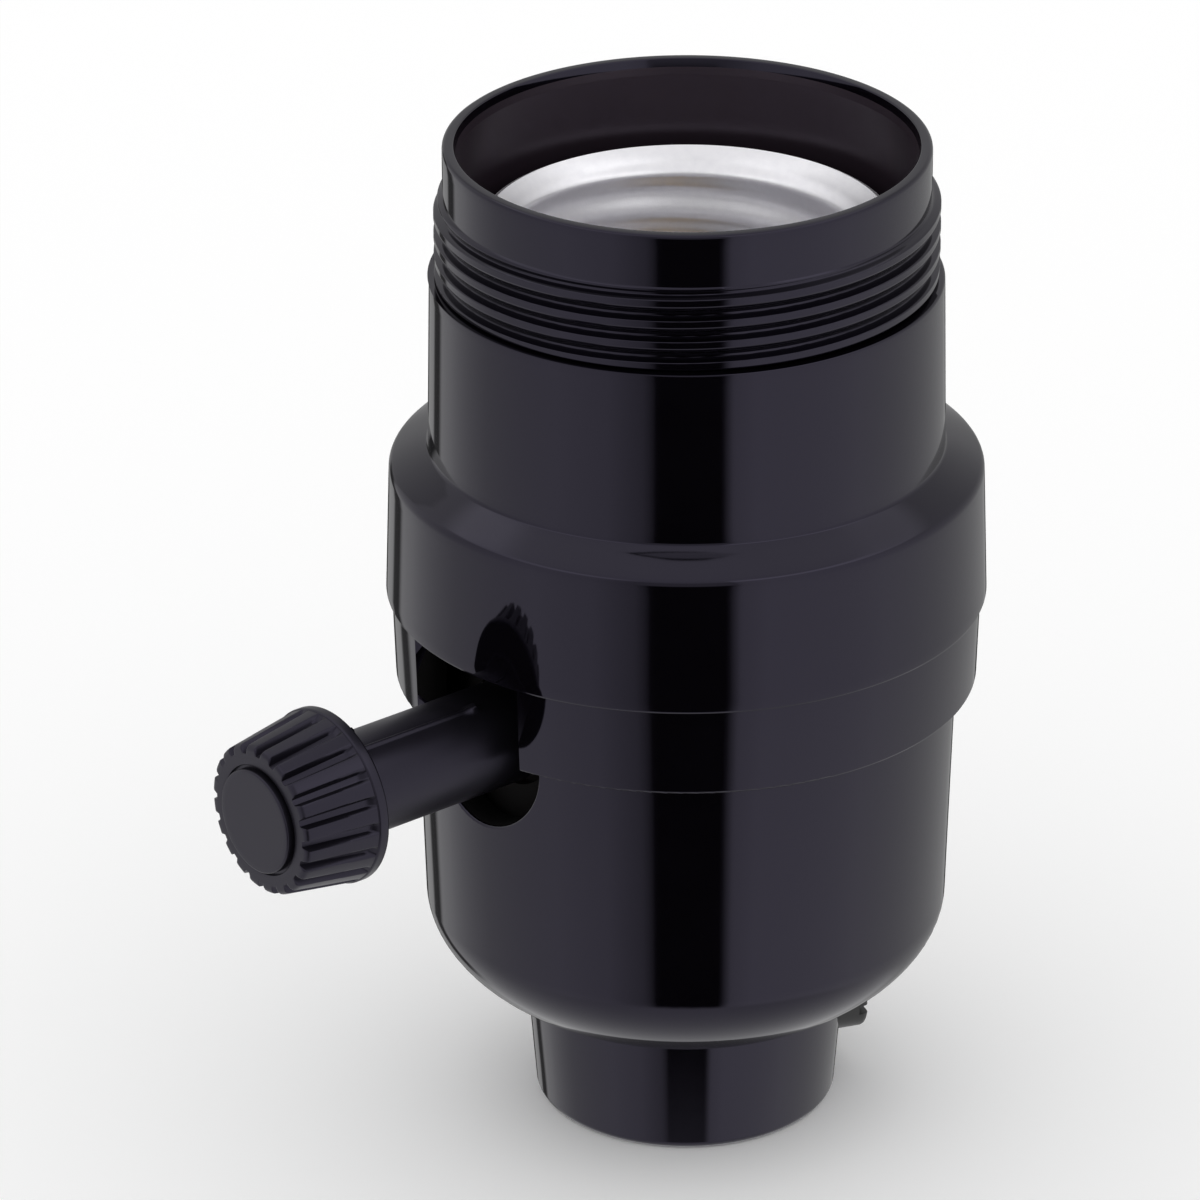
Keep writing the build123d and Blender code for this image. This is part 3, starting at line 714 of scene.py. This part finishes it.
@dataclass
class BulbShell:
    """The drawn and rolled sheet cup that takes the bulb."""

    bore_radius: float = 13.25
    sheet: float = 0.4
    flare_radius: float = 14.93
    flare_height: float = 1.9
    floor_hole: float = 7.8
    corner: float = 0.8
    foot_step: float = 0.5
    foot_height: float = 3.6
    foot_slope: float = 0.6
    pieces: int = 8
    thread_depth: float = 0.55
    pitch: float = 3.63
    thread_foot: float = 3.0
    thread_margin: float = 0.9
    thread_fade: float = 1.0
    steps: int = 240
    row: float = 0.22

    def outline(self, floor: float, top: float) -> list[Vector]:
        """Draw the cup's closed section.

        Args:
            floor: The height of its underside.
            top: The height of its rim.

        Returns:
            The section's points.
        """
        outer = self.bore_radius + self.sheet
        outer_foot, inner_foot = outer - self.foot_step, self.bore_radius - self.foot_step
        step = floor + self.foot_height
        flare = top - self.flare_height
        flare_out = bezier((outer, flare), (outer, flare + self.flare_height / 2),
                           (self.flare_radius, top - self.sheet),
                           (self.flare_radius, top - self.sheet / 2), self.pieces)
        flare_in = bezier((self.flare_radius - self.sheet, top),
                          (self.bore_radius + self.sheet / 4, flare + self.flare_height / 2),
                          (self.bore_radius, flare + self.flare_height / 4),
                          (self.bore_radius, flare), self.pieces)
        corners = [
            Corner(self.floor_hole, floor),
            Corner(outer_foot, floor, self.corner),
            Corner(outer_foot, step),
            Corner(outer, step + self.foot_slope),
            *flare_out,
            *flare_in,
            Corner(self.bore_radius, step + self.foot_slope),
            Corner(inner_foot, step),
            Corner(inner_foot, floor + self.sheet, self.corner - self.sheet),
            Corner(self.floor_hole, floor + self.sheet),
        ]
        return section(corners, self.row)

    def build(self) -> bpy.types.Object:
        """Spin the cup and roll its thread inwards.

        Returns:
            The new object.
        """
        low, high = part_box("screw_shell")
        floor, top = low.z / MM, high.z / MM
        thread = Helix(self.pitch, floor + self.thread_foot, top - self.thread_margin,
                       self.thread_fade)
        mesh = spun(self.outline(floor, top), self.steps)
        for vert in mesh.verts:
            z = vert.co.z / MM
            if floor + 2 * self.corner < z < top - self.thread_margin:
                push_out(vert, -self.thread_depth * thread.height(z, turn_of(vert)))
        return add_object("bulb_shell", mesh)


@dataclass
class Knob:
    """The ribbed knob and its stem, one moulding, drawn along its own axis.

    A raised line runs along the stem and ends in a small lump. The flank of each is the span of
    distances from its middle over which it falls away.
    """

    stem_radius: float = 3.84
    stem_start: float = 17.2
    flange_start: float = 33.2
    flange_thickness: float = 0.9
    flange_radius: float = 6.58
    grip_foot_radius: float = 6.48
    grip_end_radius: float = 5.6
    length: float = 6.7
    disc_radius: float = 3.9
    rim_radius: float = 4.65
    disc_height: float = 0.45
    moat_width: float = 0.22
    moat_depth: float = 0.25
    bore_radius: float = 2.82
    bore_depth: float = 10.32
    stem_end_round: float = 0.2
    stem_foot_round: float = 0.25
    flange_round: float = 0.2
    face_round: float = 0.45
    disc_round: float = 0.15
    moat_round: float = 0.08
    ribs: int = 20
    groove_width: float = 0.7
    groove_depth: float = 0.42
    groove_end_depth: float = 0.62
    groove_flank: float = 0.26
    line_angle: float = 68.0
    line_flank: tuple[float, float] = (0.064, 0.224)
    line_height: float = 0.2
    line_start: float = 21.5
    line_fade: float = 0.3
    lump_flank: tuple[float, float] = (0.15, 0.6)
    lump_height: float = 0.4
    steps: int = 480
    row: float = 0.4
    sharp: float = 50.0

    def outline(self) -> list[Vector]:
        """Draw the knob's closed section along its axis."""
        face = self.flange_start + self.length
        grip_foot = self.flange_start + self.flange_thickness
        end = self.stem_start + self.bore_depth
        corners = [
            Corner(self.bore_radius, self.stem_start),
            Corner(self.stem_radius, self.stem_start, self.stem_end_round),
            Corner(self.stem_radius, self.flange_start, self.stem_foot_round),
            Corner(self.flange_radius, self.flange_start, self.flange_round),
            Corner(self.flange_radius, grip_foot, self.flange_round),
            Corner(self.grip_foot_radius, grip_foot),
            Corner(self.grip_end_radius, face, self.face_round),
            Corner(self.disc_radius + self.moat_width, face, self.moat_round),
            Corner(self.disc_radius + self.moat_width, face - self.moat_depth),
            Corner(self.disc_radius, face - self.moat_depth),
            Corner(self.disc_radius, face + self.disc_height, self.disc_round),
            Corner(0.0, face + self.disc_height),
            Corner(0.0, end),
            Corner(self.bore_radius, end),
        ]
        return section(corners, self.row)

    def groove(self, turn: float, radius: float) -> float:
        """Give how deep a groove is cut at an angle, as a share of its full depth."""
        pitch = math.tau * radius / self.ribs
        off = abs((turn * self.ribs + 0.5) % 1.0 - 0.5) * pitch
        half = self.groove_width / 2
        return 1 - smooth_step(half - self.groove_flank / 2, half + self.groove_flank / 2, off)

    def cut_grip(self, vert: bmesh.types.BMVert, along: float, radius: float) -> None:
        """Bring a vertex of the grip down to its groove's floor.

        Args:
            vert: The vertex.
            along: Its distance from the grip's foot.
            radius: Its radius.
        """
        share = along / (self.length - self.flange_thickness)
        wall = self.grip_foot_radius + share * (self.grip_end_radius - self.grip_foot_radius)
        depth = self.groove_depth + share * (self.groove_end_depth - self.groove_depth)
        floor = wall - depth * self.groove(turn_of(vert), wall)
        push_out(vert, min(0.0, floor - radius))

    def raise_line(self, vert: bmesh.types.BMVert, z: float) -> None:
        """Raise the moulded line along the stem, with the lump at its end.

        Args:
            vert: A vertex of the stem's outside.
            z: Its place along the knob's axis.
        """
        off = abs((turn_of(vert) * 360 - self.line_angle + 180) % 360 - 180)
        across = math.radians(off) * self.stem_radius
        line = 1 - smooth_step(*self.line_flank, across)
        line *= smooth_step(self.line_start - self.line_fade, self.line_start, z)
        lump = 1 - smooth_step(*self.lump_flank, math.hypot(across, z - self.line_start))
        push_out(vert, max(self.line_height * line, self.lump_height * lump))

    def build(self) -> bpy.types.Object:
        """Spin the knob, cut its grooves and lay it on the stem's axis.

        Returns:
            The new object.
        """
        mesh = spun(self.outline(), self.steps)
        grip_foot = self.flange_start + self.flange_thickness
        middle = (self.stem_radius + self.bore_radius) / 2
        for vert in mesh.verts:
            z = vert.co.z / MM
            radius = math.hypot(vert.co.x, vert.co.y) / MM
            if z > grip_foot + TINY and radius > self.rim_radius:
                self.cut_grip(vert, z - grip_foot, radius)
            elif self.line_start - self.lump_flank[1] < z < self.flange_start and radius > middle:
                self.raise_line(vert, z)
        low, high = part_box("knob")
        lay = Matrix.Translation((0, 0, (low.z + high.z) / 2)) @ Matrix.Rotation(math.pi / 2, 4, "X")
        bmesh.ops.transform(mesh, matrix=lay, verts=mesh.verts)
        return add_object("knob_moulding", mesh, self.sharp)


@dataclass
class Studio:
    """The pale floor, the light tent and the camera.

    The tent is what the gloss shows. The walls' light is listed by degrees to the right of the
    camera, which stands over a dark gap. Each edge is the span of elevation over which one light
    gives way to the next: the gap ends a little above level, and a brighter band runs below the
    roof. The dark spot straight behind the socket, whose edge is measured from its middle, draws
    the socket's thin dark outline.
    """

    camera_place: tuple[float, float, float] = (373.73, -317.20, 272.30)
    azimuth: float = 50.4247
    elevation: float = 25.3235
    roll: float = -0.1939
    focal_pixels: float = 7312.93
    image_pixels: float = 1200.0
    sensor: float = 36.0
    farthest: float = 100000.0
    floor_size: float = 30000.0
    floor_edge: tuple[float, float] = (-47.0, -40.0)
    gap_edge: tuple[float, float] = (-4.0, 10.0)
    band_edge: tuple[float, float] = (38.0, 45.0)
    roof_edge: tuple[float, float] = (52.0, 60.0)
    spot_edge: tuple[float, float] = (13.0, 8.0)
    floor_level: float = 0.75
    gap_level: float = 0.5
    band_gain: float = 1.6
    roof_level: float = 0.9
    spot_level: float = 0.03
    walls: tuple[tuple[float, float], ...] = (
        (-180, 0.5), (-165, 0.4), (-155, 0.5), (-152, 0.08), (-145, 0.08), (-141, 0.65),
        (-130, 0.75), (-100, 0.7), (-60, 0.88), (-36, 0.8), (-20, 0.5), (-16, 0.25), (-14, 0.02),
        (-12, 0.0), (15, 0.0), (20, 0.85), (30, 1.0), (80, 0.95), (110, 0.72), (140, 0.52),
        (160, 0.38), (180, 0.5),
    )

    def build(self) -> None:
        """Set up the floor, the light and the camera."""
        self.add_camera()
        self.add_floor()
        self.add_world()
        bpy.context.scene.view_settings.view_transform = "Standard"

    def add_camera(self) -> None:
        """Put the camera where the photograph was taken from."""
        turn, rise, roll = (math.radians(v) for v in (self.azimuth, self.elevation, self.roll))
        back = Vector((math.sin(turn) * math.cos(rise), -math.cos(turn) * math.cos(rise),
                       math.sin(rise)))
        level = Vector((0, 0, 1)).cross(back).normalized()
        upright = back.cross(level)
        right = level * math.cos(roll) + upright * math.sin(roll)
        up = upright * math.cos(roll) - level * math.sin(roll)
        data = bpy.data.cameras.new("camera")
        data.sensor_width = self.sensor
        data.lens = self.sensor * self.focal_pixels / self.image_pixels
        data.clip_end = self.farthest * MM
        camera = bpy.data.objects.new("camera", data)
        axes = Matrix((right, up, back)).transposed().to_4x4()
        camera.matrix_world = Matrix.Translation(Vector(self.camera_place) * MM) @ axes
        bpy.context.scene.collection.objects.link(camera)
        bpy.context.scene.camera = camera

    def add_floor(self) -> None:
        """Lay the pale floor, which shows white and keeps the socket's shadow."""
        mesh = bmesh.new()
        bmesh.ops.create_grid(mesh, x_segments=1, y_segments=1, size=self.floor_size * MM / 2)
        data = bpy.data.meshes.new("floor")
        mesh.to_mesh(data)
        mesh.free()
        floor = bpy.data.objects.new("floor", data)
        bpy.context.scene.collection.objects.link(floor)
        paper = bpy.data.materials.new("white paper")
        paper.use_nodes = True
        shader = paper.node_tree.nodes["Principled BSDF"]
        shader.inputs["Base Color"].default_value = linear("#ffffff")
        shader.inputs["Roughness"].default_value = 1.0
        shader.inputs["Specular IOR Level"].default_value = 0.0
        data.materials.append(paper)
        floor.visible_glossy = False

    def add_world(self) -> None:
        """Light the socket evenly, and show its gloss the tent."""
        world = bpy.data.worlds.new("light tent")
        bpy.context.scene.world = world
        world.use_nodes = True
        tree = world.node_tree
        tree.nodes.clear()
        way = add_node(tree, "ShaderNodeTexCoord").outputs["Generated"]
        turned = add_node(tree, "ShaderNodeVectorRotate",
                          {"rotation_type": "Z_AXIS", "Angle": math.radians(90 - self.azimuth)},
                          {"Vector": way})
        path = add_node(tree, "ShaderNodeLightPath")
        level = add_node(tree, "ShaderNodeMix", {"A": 1.0},
                         {"Factor": path.outputs["Is Glossy Ray"],
                          "B": self.tent(tree, turned.outputs[0])})
        light = add_node(tree, "ShaderNodeBackground", {"Color": (1, 1, 1, 1)},
                         {"Strength": level.outputs[0]})
        add_node(tree, "ShaderNodeOutputWorld", None, {"Surface": light.outputs[0]})

    def tent(self, tree: bpy.types.NodeTree, way: bpy.types.NodeSocket) -> bpy.types.NodeSocket:
        """Put the tent's light together from its floor to its roof.

        Args:
            tree: The world's node tree.
            way: The direction, turned so that the camera stands at +X.

        Returns:
            The light's level.
        """
        split = add_node(tree, "ShaderNodeSeparateXYZ", None, {"Vector": way})
        height = split.outputs["Z"]
        walls = self.wall_light(tree, split)
        filled = add_node(tree, "ShaderNodeMath", {"operation": "MAXIMUM", 1: self.gap_level},
                          {0: walls})
        closed = self.above(tree, height, self.gap_edge, walls, filled.outputs[0])
        gain = self.above(tree, height, self.band_edge, 1.0, self.band_gain)
        band = add_node(tree, "ShaderNodeMath", {"operation": "MULTIPLY"}, {0: closed, 1: gain})
        with_roof = self.above(tree, height, self.roof_edge, band.outputs[0], self.roof_level)
        with_floor = self.above(tree, height, self.floor_edge, self.floor_level, with_roof)
        rise = math.radians(self.elevation)
        ahead = add_node(tree, "ShaderNodeVectorMath",
                         {"operation": "DOT_PRODUCT", 1: (-math.cos(rise), 0, -math.sin(rise))},
                         {0: way})
        start, end = (90 - v for v in self.spot_edge)
        return self.above(tree, ahead.outputs["Value"], (start, end), with_floor, self.spot_level)

    def wall_light(self, tree: bpy.types.NodeTree, way: bpy.types.Node) -> bpy.types.NodeSocket:
        """Look up the walls' light by the direction's angle from the camera.

        Args:
            tree: The world's node tree.
            way: The node that splits the direction.

        Returns:
            The light's level.
        """
        angle = add_node(tree, "ShaderNodeMath", {"operation": "ARCTAN2"},
                         {0: way.outputs["Y"], 1: way.outputs["X"]})
        share = add_node(tree, "ShaderNodeMapRange", {"From Min": -math.pi, "From Max": math.pi},
                         {"Value": angle.outputs[0]})
        walls = add_node(tree, "ShaderNodeValToRGB", None, {"Fac": share.outputs[0]})
        stops = walls.color_ramp.elements
        for index, (degrees, level) in enumerate(self.walls):
            place = degrees / 360 + 0.5
            stop = stops[index] if index in (0, 1) else stops.new(place)
            stop.position = place
            stop.color = (level, level, level, 1.0)
        return walls.outputs["Color"]

    @staticmethod
    def above(tree: bpy.types.NodeTree, height: bpy.types.NodeSocket, edge: tuple[float, float],
              low: bpy.types.NodeSocket | float, high: bpy.types.NodeSocket | float,
              ) -> bpy.types.NodeSocket:
        """Change the light from one level to another over a span of angles.

        Args:
            tree: The world's node tree.
            height: How far the direction reaches along an axis, such as up.
            edge: The span's two angles above the plane across that axis, in degrees.
            low: The level, or its socket, below the span.
            high: The level, or its socket, above the span.

        Returns:
            The mixed level's socket.
        """
        start, end = (math.sin(math.radians(v)) for v in edge)
        share = add_node(tree, "ShaderNodeMapRange",
                         {"interpolation_type": "SMOOTHSTEP", "From Min": start, "From Max": end},
                         {"Value": height})
        mix = add_node(tree, "ShaderNodeMix", None, {"Factor": share.outputs[0]})
        for key, value in (("A", low), ("B", high)):
            if isinstance(value, float):
                mix.inputs[key].default_value = value
            else:
                tree.links.new(value, mix.inputs[key])
        return mix.outputs[0]


PLAIN_NODES: dict[str, Finish] = {
    "cap_bushing": BRASS,
    "cap_set_screw": BLACK_STEEL,
    "interior_body": INNER_PHENOLIC,
    "switch_base": INNER_PHENOLIC,
    "base_screws": ZINC,
    "assembly_screws": ZINC,
    "shell_rivets": ALUMINIUM,
    "centre_contact": BRASS,
    "centre_contact_rivet": BRASS,
    "load_contact_spring": BRONZE,
    "line_contact_spring": BRONZE,
    "line_contact_rivet": BRASS,
    "detent_spring": SPRING_STEEL,
    "hot_terminal_plate": BRASS,
    "neutral_terminal_plate": NICKEL,
    "hot_terminal_screw": BRASS,
    "neutral_terminal_screw": NICKEL,
    "shaft_bush": BRASS,
    "switch_shaft": SPRING_STEEL,
    "shaft_clip": SPRING_STEEL,
    "switch_rotor": NYLON,
    "rotor_contact": BRONZE,
    "knob_insert": BRASS,
}


def main() -> None:
    """Build every piece in order and report it."""
    logging.basicConfig(level=logging.INFO, format="%(name)s: %(message)s")
    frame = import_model()
    dresser = Dresser(frame)
    cap = dresser.copy_node("cap", "cap_moulding", Cap().skin())
    # The shell's bore gets the core side phenolic, whose colour is painted lighter to stand in for the
    # light on the bore's wall
    dresser.place(OuterShell().build(), PHENOLIC, Body.SOCKET, "phenolic", "outer_shell",
                  CORE_PHENOLIC_PAINTED_LIGHT)
    dresser.place(cap, PHENOLIC, Body.SOCKET, "phenolic", "cap", RAW_PHENOLIC)
    dresser.place(BulbShell().build(), ALUMINIUM, Body.SOCKET, "aluminium", "screw_shell")
    dresser.place(Knob().build(), KNOB_ABS, Body.KNOB, "knob_plastic", "knob")
    for name, finish in PLAIN_NODES.items():
        dresser.dress_node(name, finish)
    Studio().build()


if __name__ == "__main__":
    main()
